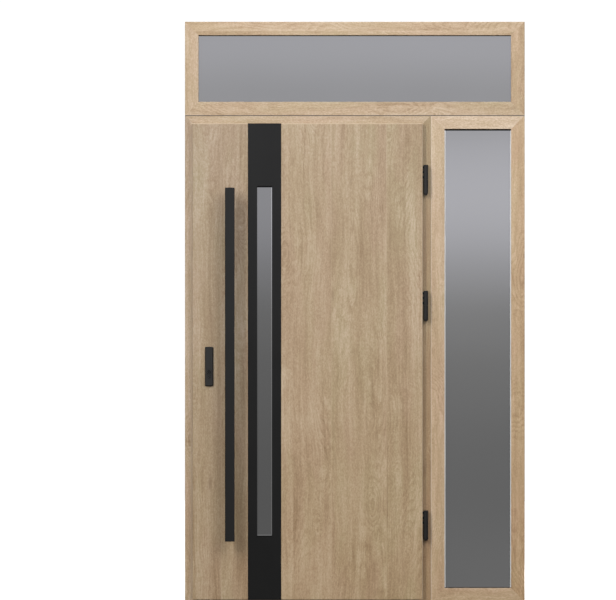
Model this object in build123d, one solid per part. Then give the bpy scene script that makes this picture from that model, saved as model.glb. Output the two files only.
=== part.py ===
import os

from build123d import *

os.makedirs("parts", exist_ok=True)

# An outward opening insulated door with a glazed transom above and a glazed sidelight beside it.
# Millimetres. X runs to the right seen from outside, Y into the building, Z up.
# The origin is in the middle of the base, at half the depth of the frame.

# Whole set
door_frame_width = 1050.0
door_frame_height = 2075.0
sidelight_width = 400.0
transom_height = 400.0
frame_depth = 90.0

# Section of the door frame
jamb_face = 50.0
stop_height = 14.0
rebate_depth = 58.0
arris_radius = 2.0

# Holes for wall anchors
anchor_radius = 5.0
anchor_depth = 43.0
anchor_end_distance = 200.0
anchor_count = 4

# Section of the glazed frames
glazed_face = 58.0
glass_cover = 16.0
glazed_lip = 20.0
glass_edge_gap = 3.0
bead_joint_gap = 0.3

# Glass units
pane_thickness = 4.0
pane_gap = 16.0
gasket_thickness = 4.0
gasket_setback = 3.0
spacer_height = 8.0
spacer_inset = 4.0

# Threshold
threshold_height = 20.0
threshold_nose_height = 15.0
threshold_slope = 14.0
thermal_break_depth = 15.0
thermal_break_drop = 1.0
threshold_edge_radius = 3.0

# Bulb seal on the stop
seal_bulb = 6.0
seal_width = 9.0
seal_tongue_width = 3.0
seal_tongue_depth = 5.0
seal_inset = 1.5
seal_fit = 0.2

# Leaf: an outer panel that overlaps the frame, a core and an inner panel
lock_margin = 33.0
hinge_margin = 36.0
head_margin = 34.0
leaf_floor_gap = 8.5
outer_panel_thickness = 13.0
overlap_gap = 5.0
core_thickness = 47.0
inner_panel_thickness = 5.0
body_gap = 6.0
leaf_arris = 1.5
leaf_top_arris = 3.0

# Brush under the leaf
brush_clearance = 5.0
brush_drop = 6.0
brush_depth = 8.0
brush_width = 10.0

# Black strip on the leaf and the narrow window in it
strip_width = 142.0
strip_thickness = 3.0
strip_seat = 2.0
strip_fit = 0.3
strip_chamfer = 0.75
strip_from_leaf_edge = 235.9
window_width = 63.0
window_height = 1496.0
window_sill_height = 277.4
window_pocket = 14.0
window_pane_gap = 14.0
window_gasket = 3.0
inner_frame_face = 30.0
inner_frame_thickness = 3.0
inner_frame_fit = 0.3
inner_frame_chamfer = 0.75

# Long pull bar
bar_width = 41.0
bar_thickness = 20.0
bar_height = 1509.0
bar_foot_height = 257.8
bar_from_leaf_edge = 158.8
bar_standoff = 46.0
bar_chamfer = 1.5
post_radius = 9.0
post_spacing = 990.0
rosette_radius = 15.0
rosette_thickness = 4.0

# Lock with its plates, cylinder, lever, faceplate, bolts and strikes
plate_width = 35.0
plate_height = 167.5
plate_thickness = 9.0
plate_corner_radius = 5.0
plate_chamfer = 4.0
lock_backset = 47.5
lock_height = 980.6
plate_foot_below_lock = 60.5
cylinder_radius = 8.5
cylinder_tail_width = 10.0
cylinder_total_height = 33.0
cylinder_proud = 3.0
cylinder_fit = 0.5
plug_radius = 6.8
plug_length = 14.0
plug_fit = 0.3
keyway_width = 2.4
keyway_height = 9.0
keyway_depth = 9.0
lever_above_lock = 72.0
lever_clearance = 42.0
lever_length = 125.0
lever_arm_height = 20.0
lever_arm_thickness = 10.0
lever_tip_radius = 4.0
lever_chamfer = 1.5
lever_neck_radius = 9.5
lever_collar_radius = 14.0
lever_collar_length = 8.0
faceplate_width = 20.0
faceplate_thickness = 3.0
faceplate_height = 1740.0
faceplate_fit = 0.3
bolt_width = 10.0
bolt_height = 80.0
bolt_length = 32.0
bolt_fit = 0.3
bolt_spacing = 680.0
bolt_rows = (-1, 0, 1)
strike_width = 24.0
strike_height = 200.0
strike_clearance = 2.5
strike_mortise_depth = 18.0

# Lift-off hinges
top_hinge_below_head = 273.0
middle_hinge_below_top = 537.4
bottom_hinge_height = 327.5
hinge_height = 124.0
hinge_radius = 10.0
hinge_leaf_gap = 4.0
hinge_frame_gap = 3.0
hinge_seam = 0.4
hinge_seam_chamfer = 0.8
hinge_chamfer = 1.5
hinge_cap_radius = 7.5
hinge_cap_height = 5.0
hinge_pin_radius = 5.0
hinge_pin_fit = 0.2
hinge_pin_length = 90.0
hinge_nut_width = 8.0
hinge_nut_spacing = 21.0
hinge_nut_inset = 4.0
hinge_nut_rows = (-1, 0, 1)

# Places worked out from the sizes above
left_x = -(door_frame_width + sidelight_width) / 2
coupling_x = left_x + door_frame_width
right_x = coupling_x + sidelight_width
coupling_z = door_frame_height
top_z = coupling_z + transom_height
front_y = -frame_depth / 2
back_y = frame_depth / 2
stop_y = front_y + rebate_depth

leaf_left = left_x + lock_margin
leaf_right = coupling_x - hinge_margin
leaf_top = coupling_z - head_margin
leaf_bottom = leaf_floor_gap
leaf_back_of_lip = front_y - overlap_gap
leaf_front = leaf_back_of_lip - outer_panel_thickness
core_back = leaf_back_of_lip + core_thickness
leaf_inside = core_back + inner_panel_thickness
body_left = left_x + jamb_face + body_gap
body_right = coupling_x - jamb_face - body_gap
body_top = coupling_z - jamb_face - body_gap
body_bottom = threshold_height + brush_clearance + brush_drop

strip_x = leaf_left + strip_from_leaf_edge + strip_width / 2
window_z = window_sill_height + window_height / 2
strip_back = leaf_front + strip_seat
strip_front = strip_back - strip_thickness

lock_x = body_left + lock_backset
lock_edge_y = leaf_back_of_lip + core_thickness / 2
plate_z = lock_height - plate_foot_below_lock + plate_height / 2

hinge_x = leaf_right + hinge_leaf_gap + hinge_radius
hinge_y = front_y - hinge_frame_gap - hinge_radius
top_hinge_z = coupling_z - top_hinge_below_head
middle_hinge_z = top_hinge_z - middle_hinge_below_top
hinge_places = (top_hinge_z, middle_hinge_z, bottom_hinge_height)


# A solid between two depths from an outline drawn in X and Z
def slab(outline, y_front, y_back):
    plane = Plane(origin=(0, y_front, 0), x_dir=(1, 0, 0), z_dir=(0, -1, 0))
    return extrude(plane * outline, amount=y_front - y_back)


# An upright rectangle between two depths
def panel(x, z, width, height, y_front, y_back):
    return slab(Pos(x, z) * Rectangle(width, height), y_front, y_back)


# A rectangular ring between two depths
def ring(x, z, outer, inner, y_front, y_back):
    return panel(x, z, *outer, y_front, y_back) - panel(x, z, *inner, y_front, y_back)


# A round bar from a point, in a direction
def rod(start, direction, radius, length):
    plane = Plane(origin=start, z_dir=direction)
    return plane * Cylinder(radius, length, align=(Align.CENTER, Align.CENTER, Align.MIN))


# The outline with the named corners rounded
def round_corners(outline, corners, radius):
    picked = [outline.vertices().sort_by_distance((u, v, 0))[0] for u, v in corners]
    return fillet(picked, radius)


# One side of a frame: a section swept along the outer edge, with mitred or square ends.
# The section is drawn from the outer edge inwards and from the front face backwards.
def frame_side(section, corner, inward, length, reach, mitres=(True, True), joint_gap=0.0):
    backward = Vector(0, 1, 0)
    along = Vector(*inward).cross(backward)
    bar = extrude(Plane(origin=corner, x_dir=inward, z_dir=along) * section, amount=length)
    start, end = (reach if mitred else 0.0 for mitred in mitres)
    trim = joint_gap / 2
    outline = Polygon(
        (trim, 0),
        (length - trim, 0),
        (length - trim - end, reach),
        (trim + start, reach),
        align=None,
    )
    return bar & extrude(Plane(origin=corner, x_dir=along, z_dir=backward) * outline, amount=frame_depth)


# The corner where each side of a rectangular frame starts, and its inward direction
def frame_corners(x0, x1, z0, z1):
    return {
        "bottom_rail": ((x1, front_y, z0), (0, 0, 1), x1 - x0),
        "right_stile": ((x1, front_y, z1), (-1, 0, 0), z1 - z0),
        "top_rail": ((x0, front_y, z1), (0, 0, -1), x1 - x0),
        "left_stile": ((x0, front_y, z0), (1, 0, 0), z1 - z0),
    }


# Holes for wall anchors, evenly spaced along one side of a frame
def anchor_holes(corner, inward, length, reach):
    along = Vector(*inward).cross(Vector(0, 1, 0))
    pitch = (length - 2 * anchor_end_distance) / (anchor_count - 1)
    holes = []
    for i in range(anchor_count):
        place = Vector(*corner) + Vector(0, anchor_depth, 0) + along * (anchor_end_distance + i * pitch)
        holes.append(rod(place, inward, anchor_radius, reach))
    return holes


def save(node, shape):
    export_step(shape, f"parts/{node}.step")


# Panes, spacers and gaskets of a triple unit, from its front gasket backwards
def glass_unit(prefix, x, z, seen, cover, edge_gap, gap, gasket, y_front, names):
    width, height = (size + 2 * (cover - edge_gap) for size in seen)
    seat = y_front + gasket
    step = pane_thickness + gap
    panes = [panel(x, z, width, height, seat + i * step, seat + i * step + pane_thickness) for i in range(3)]
    outer = (width - 2 * spacer_inset, height - 2 * spacer_inset)
    inner = tuple(size - 2 * spacer_height for size in outer)
    first_gap = seat + pane_thickness
    spacers = [ring(x, z, outer, inner, first_gap + i * step, first_gap + i * step + gap) for i in range(2)]
    unit_back = seat + 2 * step + pane_thickness
    hole = tuple(size + 2 * gasket_setback for size in seen)
    gaskets = [ring(x, z, (width, height), hole, y, y + gasket) for y in (y_front, unit_back)]
    for name, solids in zip(names, (panes, spacers, gaskets)):
        save(f"{prefix}_{name}", Compound(children=solids))
    return unit_back + gasket


# A glazed frame: four mitred sides, a glass unit and the beads that hold it from inside
def glazed_frame(prefix, x0, x1, z0, z1, anchored_side):
    rebate = glazed_face - glass_cover
    section = Polygon(
        (0, 0),
        (glazed_face, 0),
        (glazed_face, glazed_lip),
        (rebate, glazed_lip),
        (rebate, frame_depth),
        (0, frame_depth),
        align=None,
    )
    section = round_corners(section, [(0, 0), (glazed_face, 0), (0, frame_depth)], arris_radius)
    sides = frame_corners(x0, x1, z0, z1)
    for side, (corner, inward, length) in sides.items():
        member = frame_side(section, corner, inward, length, glazed_face)
        if side == anchored_side:
            member = member - anchor_holes(corner, inward, length, glazed_face)
        save(f"{prefix}_{side}", member)

    seen = (x1 - x0 - 2 * glazed_face, z1 - z0 - 2 * glazed_face)
    x, z = (x0 + x1) / 2, (z0 + z1) / 2
    names = ("glass", "spacers", "gaskets")
    bead_front = glass_unit(
        prefix,
        x,
        z,
        seen,
        glass_cover,
        glass_edge_gap,
        pane_gap,
        gasket_thickness,
        front_y + glazed_lip,
        names,
    )
    bead_v = bead_front - front_y
    bead = Polygon(
        (rebate, bead_v),
        (glazed_face, bead_v),
        (glazed_face, frame_depth),
        (rebate, frame_depth),
        align=None,
    )
    bead = round_corners(bead, [(glazed_face, frame_depth)], arris_radius)
    beads = [
        frame_side(bead, corner, inward, length, glazed_face, joint_gap=bead_joint_gap)
        for corner, inward, length in sides.values()
    ]
    save(f"{prefix}_beads", Compound(children=beads))


# Transom over the full width, sidelight on the hinge side of the door
glazed_frame("transom", left_x, right_x, coupling_z, top_z, "top_rail")
glazed_frame("sidelight", coupling_x, right_x, 0.0, coupling_z, "right_stile")


# Door frame: rebated jambs and head, mitred at the top
stop_reach = jamb_face + stop_height
tongue_left = jamb_face + seal_inset + (seal_width - seal_tongue_width) / 2
tongue_right = tongue_left + seal_tongue_width
tongue_back = rebate_depth + seal_tongue_depth
frame_section = Polygon(
    (0, 0),
    (jamb_face, 0),
    (jamb_face, rebate_depth),
    (stop_reach, rebate_depth),
    (stop_reach, frame_depth),
    (0, frame_depth),
    align=None,
)
frame_section = round_corners(
    frame_section,
    [(0, 0), (jamb_face, 0), (stop_reach, frame_depth), (0, frame_depth)],
    arris_radius,
)
seal_groove = Pos((tongue_left + tongue_right) / 2, rebate_depth + seal_tongue_depth / 2) * Rectangle(
    seal_tongue_width + 2 * seal_fit, seal_tongue_depth
)
frame_section = frame_section - seal_groove

seal_left = jamb_face + seal_inset
seal_right = seal_left + seal_width
seal_bulge = Polygon(
    (seal_left, rebate_depth - seal_bulb),
    (seal_right, rebate_depth - seal_bulb),
    (seal_right, rebate_depth),
    (seal_left, rebate_depth),
    align=None,
)
seal_bulge = round_corners(
    seal_bulge,
    [(seal_left, rebate_depth - seal_bulb), (seal_right, rebate_depth - seal_bulb)],
    seal_width / 3,
)
seal_tongue = Pos((tongue_left + tongue_right) / 2, rebate_depth + seal_tongue_depth / 2) * Rectangle(
    seal_tongue_width, seal_tongue_depth
)
seal_section = seal_bulge + seal_tongue

door_sides = frame_corners(left_x, coupling_x, 0.0, coupling_z)
side_ends = {
    "left_stile": (False, True),
    "top_rail": (True, True),
    "right_stile": (True, False),
}
members = {}
seals = {}
for side, mitres in side_ends.items():
    corner, inward, length = door_sides[side]
    members[side] = frame_side(frame_section, corner, inward, length, stop_reach, mitres)
    seals[side] = frame_side(seal_section, corner, inward, length, stop_reach, mitres)

left_jamb = members["left_stile"] - anchor_holes(*door_sides["left_stile"], stop_reach)
save("hinge_jamb", members["right_stile"])
save("door_head", members["top_rail"])

reveal_left = left_x + jamb_face
reveal_right = coupling_x - jamb_face
stop_left = left_x + stop_reach
stop_right = coupling_x - stop_reach

# Threshold between the jambs: two aluminium profiles on either side of a thermal break
break_front = stop_y - thermal_break_depth
outer_section = Polygon(
    (front_y, 0),
    (break_front, 0),
    (break_front, threshold_height),
    (front_y + threshold_slope, threshold_height),
    (front_y, threshold_nose_height),
    align=None,
)
outer_section = round_corners(outer_section, [(front_y, threshold_nose_height)], threshold_edge_radius)
inner_section = Polygon(
    (stop_y, 0),
    (back_y, 0),
    (back_y, threshold_height),
    (stop_y, threshold_height),
    align=None,
)
inner_section = round_corners(inner_section, [(back_y, threshold_height)], threshold_edge_radius)
break_section = Polygon(
    (break_front, 0),
    (stop_y, 0),
    (stop_y, threshold_height - thermal_break_drop),
    (break_front, threshold_height - thermal_break_drop),
    align=None,
)


# A bar along X from a section drawn in Y and Z
def sill(section, x_from, x_to):
    plane = Plane(origin=(x_from, 0, 0), x_dir=(0, 1, 0), z_dir=(1, 0, 0))
    return extrude(plane * section, amount=x_to - x_from)


outer_sill = sill(outer_section, reveal_left, reveal_right)
inner_sill = sill(inner_section, stop_left, stop_right)
save("threshold", Compound(children=[outer_sill, inner_sill]))
save("threshold_thermal_break", sill(break_section, reveal_left, reveal_right))

# The seal stands on the threshold at both ends and follows the stop round the opening
door_x = (left_x + coupling_x) / 2
seal_cut = panel(door_x, threshold_height / 2, door_frame_width, threshold_height, front_y, back_y)
seal_run = seals["left_stile"] + seals["top_rail"] + seals["right_stile"]
save("frame_seal", seal_run - seal_cut)

# Strike plates let into the reveal of the left jamb, with mortises for the bolts behind them
strikes = []
for row in bolt_rows:
    strike_place = (reveal_left, lock_edge_y, lock_height + row * bolt_spacing)
    strike_plane = Plane(origin=strike_place, x_dir=(0, 1, 0), z_dir=(-1, 0, 0))
    strike_slot = Rectangle(bolt_width + 2 * strike_clearance, bolt_height + 2 * strike_clearance)
    strike = extrude(strike_plane * Rectangle(strike_width, strike_height), amount=faceplate_thickness)
    mortise = extrude(strike_plane * strike_slot, amount=strike_mortise_depth)
    strikes.append(strike - mortise)
    left_jamb = left_jamb - strike - mortise
save("strike_plates", Compound(children=strikes))
save("left_jamb", left_jamb)

# Leaf, with a pocket through it for the narrow window and a hole for the lock cylinder
leaf_width = leaf_right - leaf_left
leaf_height = leaf_top - leaf_bottom
leaf_x = (leaf_left + leaf_right) / 2
leaf_z = (leaf_bottom + leaf_top) / 2
body_width = body_right - body_left
body_height = body_top - body_bottom
body_x = (body_left + body_right) / 2
body_z = (body_bottom + body_top) / 2
pocket_size = (window_width + 2 * window_pocket, window_height + 2 * window_pocket)
pocket = panel(strip_x, window_z, *pocket_size, leaf_front, leaf_inside)


# Outline of a lock cylinder: a round with a tail below it
def cylinder_outline(clearance):
    radius = cylinder_radius + clearance
    tail_width = cylinder_tail_width + 2 * clearance
    tail_length = cylinder_total_height - cylinder_radius - cylinder_tail_width / 2
    tail = Pos(0, -tail_length / 2) * Rectangle(tail_width, tail_length)
    foot = Pos(0, -tail_length) * Circle(tail_width / 2)
    return Pos(lock_x, lock_height) * (Circle(radius) + tail + foot)


plate_front = leaf_front - plate_thickness
plate_back = leaf_inside + plate_thickness
cylinder_hole = slab(cylinder_outline(cylinder_fit), plate_front, plate_back)

outer_panel = panel(leaf_x, leaf_z, leaf_width, leaf_height, leaf_front, leaf_back_of_lip)
low_edges = outer_panel.faces().sort_by(Axis.Y)[0].edges().sort_by(Axis.Z)[:-1]
outer_panel = chamfer(low_edges, leaf_arris)
top_edge = outer_panel.faces().sort_by(Axis.Y)[0].edges().sort_by(Axis.Z)[-1]
outer_panel = chamfer(top_edge, leaf_top_arris)
strip_channel = panel(strip_x, leaf_z, strip_width + 2 * strip_fit, leaf_height, leaf_front, strip_back)
save("leaf_outer_panel", outer_panel - strip_channel - pocket - cylinder_hole)

core = panel(body_x, body_z, body_width, body_height, leaf_back_of_lip, core_back)
brush_top = body_bottom + brush_depth
brush_y = leaf_back_of_lip + core_thickness / 2
brush_bottom = body_bottom - brush_drop
brush = panel(
    body_x,
    (brush_bottom + brush_top) / 2,
    body_width,
    brush_top - brush_bottom,
    brush_y - brush_width / 2,
    brush_y + brush_width / 2,
)
save("leaf_bottom_brush", brush)

# Long faceplate of the lock in the leaf's free edge, with the bolts drawn back flush with it
face_plane = Plane(origin=(body_left, lock_edge_y, lock_height), x_dir=(0, 1, 0), z_dir=(1, 0, 0))
face_outline = RectangleRounded(faceplate_width, faceplate_height, faceplate_width / 3)
faceplate = extrude(face_plane * face_outline, amount=faceplate_thickness)
face_pocket = extrude(face_plane * offset(face_outline, amount=faceplate_fit), amount=faceplate_thickness)
core = core - pocket - brush - face_pocket - cylinder_hole
bolts = []
for row in bolt_rows:
    bolt_outline = Pos(0, row * bolt_spacing) * Rectangle(bolt_width, bolt_height)
    bolts.append(extrude(face_plane * bolt_outline, amount=bolt_length))
    bolt_room = face_plane * offset(bolt_outline, amount=bolt_fit, kind=Kind.INTERSECTION)
    bolt_pocket = extrude(bolt_room, amount=bolt_length + bolt_fit)
    faceplate = faceplate - bolt_pocket
    core = core - bolt_pocket
save("lock_faceplate", faceplate)
save("lock_bolts", Compound(children=bolts))
save("leaf_core", core)
inner_panel = panel(body_x, body_z, body_width, body_height, core_back, leaf_inside)
save("leaf_inner_panel", inner_panel - pocket - cylinder_hole)

# Black strip over the full height of the leaf, with the window opening
strip = panel(strip_x, leaf_z, strip_width, leaf_height, strip_front, strip_back)
strip = strip - panel(strip_x, window_z, window_width, window_height, strip_front, strip_back)
strip = chamfer(strip.faces().sort_by(Axis.Y)[0].edges(), strip_chamfer)
save("leaf_black_strip", strip)

window_seen = (window_width, window_height)
rim_front = glass_unit(
    "strip",
    strip_x,
    window_z,
    window_seen,
    window_pocket,
    glass_edge_gap,
    window_pane_gap,
    window_gasket,
    strip_back,
    ("glass", "glass_spacers", "glass_gaskets"),
)
rim_outer = tuple(size - 2 * inner_frame_fit for size in pocket_size)
flange_outer = tuple(size + 2 * inner_frame_face for size in window_seen)
inner_frame = ring(strip_x, window_z, rim_outer, window_seen, rim_front, leaf_inside)
flange = ring(strip_x, window_z, flange_outer, window_seen, leaf_inside, leaf_inside + inner_frame_thickness)
flange = chamfer(flange.faces().sort_by(Axis.Y)[-1].edges(), inner_frame_chamfer)
save("inner_glazing_frame", inner_frame + flange)

# Pull bar on two round posts with rosettes
bar_x = leaf_left + bar_from_leaf_edge
bar_z = bar_foot_height + bar_height / 2
bar_back = leaf_front - bar_standoff
bar = panel(bar_x, bar_z, bar_width, bar_height, bar_back - bar_thickness, bar_back)
save("pull_bar", chamfer(bar.edges(), bar_chamfer))
posts = []
for end in (-1, 1):
    foot = (bar_x, leaf_front, bar_z + end * post_spacing / 2)
    rosette = rod(foot, (0, -1, 0), rosette_radius, rosette_thickness)
    posts.append(rosette + rod(foot, (0, -1, 0), post_radius, bar_standoff))
save("pull_bar_posts", Compound(children=posts))


# Plate with rounded corners and chamfered edges, standing off a face of the leaf
def lock_plate(y_seat, y_face):
    outline = Pos(lock_x, plate_z) * RectangleRounded(plate_width, plate_height, plate_corner_radius)
    body = slab(outline, min(y_seat, y_face), max(y_seat, y_face))
    rim = body.faces().sort_by(Axis.Y)[0 if y_face < y_seat else -1]
    return chamfer(rim.edges(), plate_chamfer)


outer_plate = lock_plate(leaf_front, plate_front)
save("lock_escutcheon", outer_plate - cylinder_hole)
inner_plate = lock_plate(leaf_inside, plate_back)
save("inner_handle_plate", inner_plate - cylinder_hole)

# Lock cylinder from face to face, with a plug that turns in its outer end
cylinder_front = plate_front - cylinder_proud
cylinder_back = plate_back + cylinder_proud
cylinder_body = slab(cylinder_outline(0.0), cylinder_front, cylinder_back)
plug_start = (lock_x, cylinder_front, lock_height)
cylinder_body = cylinder_body - rod(plug_start, (0, 1, 0), plug_radius + plug_fit, plug_length + plug_fit)
save("lock_cylinder", cylinder_body)
plug = rod(plug_start, (0, 1, 0), plug_radius, plug_length)
keyway_end = cylinder_front + keyway_depth
keyway = panel(lock_x, lock_height, keyway_width, keyway_height, cylinder_front, keyway_end)
save("cylinder_plug", plug - keyway)

# Lever on the room side: a collar, a round neck and a flat arm that points to the hinges
lever_z = lock_height + lever_above_lock
lever_seat = (lock_x, plate_back, lever_z)
arm_back = plate_back + lever_clearance
arm_front = arm_back + lever_arm_thickness
arm_tip = lock_x + lever_length
half_arm = lever_arm_height / 2
arm_bar = Pos(lock_x + lever_length / 2, lever_z) * Rectangle(lever_length, lever_arm_height)
arm_outline = arm_bar + Pos(lock_x, lever_z) * Circle(half_arm)
tip_corners = [(arm_tip, lever_z - half_arm), (arm_tip, lever_z + half_arm)]
arm = slab(round_corners(arm_outline, tip_corners, lever_tip_radius), arm_back, arm_front)
arm = chamfer(arm.faces().sort_by(Axis.Y)[-1].edges(), lever_chamfer)
neck = rod(lever_seat, (0, 1, 0), lever_neck_radius, lever_clearance)
collar = rod(lever_seat, (0, 1, 0), lever_collar_radius, lever_collar_length)
save("inner_lever", arm + neck + collar)

# Hinges: the frame half below holds the pin, the leaf half above drops over it
half_height = hinge_height / 2
seam = hinge_seam / 2
pin_reach = hinge_pin_length / 2
bore_radius = hinge_pin_radius + hinge_pin_fit
cap_foot = -half_height - hinge_cap_height
lower_profile = Polygon(
    (0, cap_foot),
    (hinge_cap_radius - hinge_chamfer, cap_foot),
    (hinge_cap_radius, cap_foot + hinge_chamfer),
    (hinge_cap_radius, -half_height),
    (hinge_radius - hinge_chamfer, -half_height),
    (hinge_radius, -half_height + hinge_chamfer),
    (hinge_radius, -seam - hinge_seam_chamfer),
    (hinge_radius - hinge_seam_chamfer, -seam),
    (hinge_pin_radius, -seam),
    (hinge_pin_radius, -pin_reach),
    (0, -pin_reach),
    align=None,
)
upper_profile = Polygon(
    (bore_radius, seam),
    (hinge_radius - hinge_seam_chamfer, seam),
    (hinge_radius, seam + hinge_seam_chamfer),
    (hinge_radius, half_height - hinge_chamfer),
    (hinge_radius - hinge_chamfer, half_height),
    (0, half_height),
    (0, pin_reach + hinge_pin_fit),
    (bore_radius, pin_reach + hinge_pin_fit),
    align=None,
)
lower_barrel = revolve(Plane.XZ * lower_profile, axis=Axis.Z)
upper_barrel = revolve(Plane.XZ * upper_profile, axis=Axis.Z)


# Three hexagonal nuts at mid height of a hinge half, from inside the barrel to the face that carries it
def hinge_nuts(middle, direction, reach):
    nuts = []
    start = hinge_radius - hinge_nut_inset
    for row in hinge_nut_rows:
        foot = Vector(*direction) * start + Vector(0, 0, middle + row * hinge_nut_spacing)
        plane = Plane(origin=foot, x_dir=(0, 0, 1), z_dir=direction)
        outline = RegularPolygon(hinge_nut_width / 2, 6, major_radius=False)
        nuts.append(extrude(plane * outline, amount=reach - start))
    return nuts


nut_middle = (half_height + seam) / 2
lower_half = lower_barrel + hinge_nuts(-nut_middle, (0, 1, 0), hinge_radius + hinge_frame_gap)
upper_half = upper_barrel + hinge_nuts(nut_middle, (-1, 0, 0), hinge_radius + hinge_leaf_gap)
pin = rod((0, 0, -pin_reach), (0, 0, 1), hinge_pin_radius, hinge_pin_length)
hinge_pieces = {"hinge_frame_halves": lower_half, "hinge_leaf_halves": upper_half, "hinge_pins": pin}
for node, piece in hinge_pieces.items():
    save(node, Compound(children=[Pos(hinge_x, hinge_y, z) * piece for z in hinge_places]))
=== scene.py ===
import math

import bmesh
import bpy
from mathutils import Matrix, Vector


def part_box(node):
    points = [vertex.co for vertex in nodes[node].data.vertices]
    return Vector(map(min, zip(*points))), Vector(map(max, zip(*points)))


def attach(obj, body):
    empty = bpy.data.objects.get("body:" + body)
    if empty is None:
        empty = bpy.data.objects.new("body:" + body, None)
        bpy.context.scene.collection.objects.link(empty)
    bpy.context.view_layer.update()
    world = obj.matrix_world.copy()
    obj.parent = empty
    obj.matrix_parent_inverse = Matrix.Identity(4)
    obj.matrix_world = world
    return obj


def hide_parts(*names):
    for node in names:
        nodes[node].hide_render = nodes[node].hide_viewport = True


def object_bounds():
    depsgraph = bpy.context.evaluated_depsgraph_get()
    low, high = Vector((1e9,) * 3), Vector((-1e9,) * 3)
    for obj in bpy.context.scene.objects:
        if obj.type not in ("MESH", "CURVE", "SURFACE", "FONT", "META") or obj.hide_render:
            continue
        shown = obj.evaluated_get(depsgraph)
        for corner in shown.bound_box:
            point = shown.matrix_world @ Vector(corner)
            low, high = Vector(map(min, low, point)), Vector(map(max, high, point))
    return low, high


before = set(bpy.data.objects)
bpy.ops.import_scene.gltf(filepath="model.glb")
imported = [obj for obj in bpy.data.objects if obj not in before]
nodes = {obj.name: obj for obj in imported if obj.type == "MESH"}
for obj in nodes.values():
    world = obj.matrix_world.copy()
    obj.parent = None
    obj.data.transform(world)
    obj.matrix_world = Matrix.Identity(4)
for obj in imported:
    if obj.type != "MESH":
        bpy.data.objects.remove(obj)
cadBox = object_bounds()
scene = bpy.context.scene
print("frame loaded:", len(nodes), "pieces")


# small helpers for wiring shader trees

def feed(tree, socket, value):
    # a socket is linked, a plain number or colour is set
    if isinstance(value, bpy.types.NodeSocket):
        tree.links.new(value, socket)
    else:
        socket.default_value = value


def calc(tree, operation, *values):
    node = tree.nodes.new("ShaderNodeMath")
    node.operation = operation
    for socket, value in zip(node.inputs, values):
        feed(tree, socket, value)
    return node.outputs[0]


def spread(tree, value, low, high, toLow=0.0, toHigh=1.0, kind="SMOOTHSTEP"):
    node = tree.nodes.new("ShaderNodeMapRange")
    node.interpolation_type = kind
    ends = {"From Min": low, "From Max": high, "To Min": toLow, "To Max": toHigh}
    for name, item in {"Value": value, **ends}.items():
        feed(tree, node.inputs[name], item)
    return node.outputs["Result"]


def blendColour(tree, factor, first, second, mode="MIX"):
    node = tree.nodes.new("ShaderNodeMix")
    node.data_type = "RGBA"
    node.blend_type = mode
    for index, item in zip((0, 6, 7), (factor, first, second)):
        feed(tree, node.inputs[index], item)
    return node.outputs[2]


def point(tree, x, y, z):
    node = tree.nodes.new("ShaderNodeCombineXYZ")
    for socket, value in zip(node.inputs, (x, y, z)):
        feed(tree, socket, value)
    return node.outputs[0]


def parts(tree, vector):
    node = tree.nodes.new("ShaderNodeSeparateXYZ")
    tree.links.new(vector, node.inputs[0])
    return node.outputs


def stretch(tree, vector, scale):
    node = tree.nodes.new("ShaderNodeVectorMath")
    node.operation = "MULTIPLY"
    tree.links.new(vector, node.inputs[0])
    node.inputs[1].default_value = scale
    return node.outputs[0]


def noise(tree, vector, scale=(1.0, 1.0, 1.0), detail=2.0, rough=0.5, output="Fac"):
    node = tree.nodes.new("ShaderNodeTexNoise")
    tree.links.new(stretch(tree, vector, scale), node.inputs["Vector"])
    node.inputs["Scale"].default_value = 1.0
    node.inputs["Detail"].default_value = detail
    node.inputs["Roughness"].default_value = rough
    return node.outputs[output]


def shaderGroup(name, inputs, outputs):
    tree = bpy.data.node_groups.new(name, "ShaderNodeTree")
    for label, kind, value in inputs:
        socket = tree.interface.new_socket(name=label, in_out="INPUT", socket_type=kind)
        if value is not None:
            socket.default_value = value
    for label, kind in outputs:
        tree.interface.new_socket(name=label, in_out="OUTPUT", socket_type=kind)
    return tree, tree.nodes.new("NodeGroupInput").outputs, tree.nodes.new("NodeGroupOutput").inputs


def useGroup(tree, group, **values):
    node = tree.nodes.new("ShaderNodeGroup")
    node.node_tree = group
    for label, value in values.items():
        feed(tree, node.inputs[label], value)
    return node.outputs


# oak: X runs across the boards, Z along them, Y into the wood

oakLook = {
    "dark": (0.300, 0.190, 0.095, 1.0),
    "middle": (0.470, 0.345, 0.210, 1.0),
    "light": (0.640, 0.520, 0.375, 1.0),
    "rose": (0.486, 0.347, 0.222, 1.0),
    "olive": (0.456, 0.346, 0.203, 1.0),
    "fleck": (0.245, 0.145, 0.070, 1.0),
    "pore": (0.270, 0.170, 0.085, 1.0),
    "knotScale": (7.5, 0.0, 2.4),
    "layers": {  # how much each layer of the grain lightens or darkens it
        "patch": 0.68,
        "band": 0.58,
        "streak": 0.62,
        "line": 0.58,
        "swirl": 0.55,
        "speck": 1.10,
        "vein": -0.13,
        "rings": 0.20,
        "board": 0.08,
        "knot": -0.08,
    },
}


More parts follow.
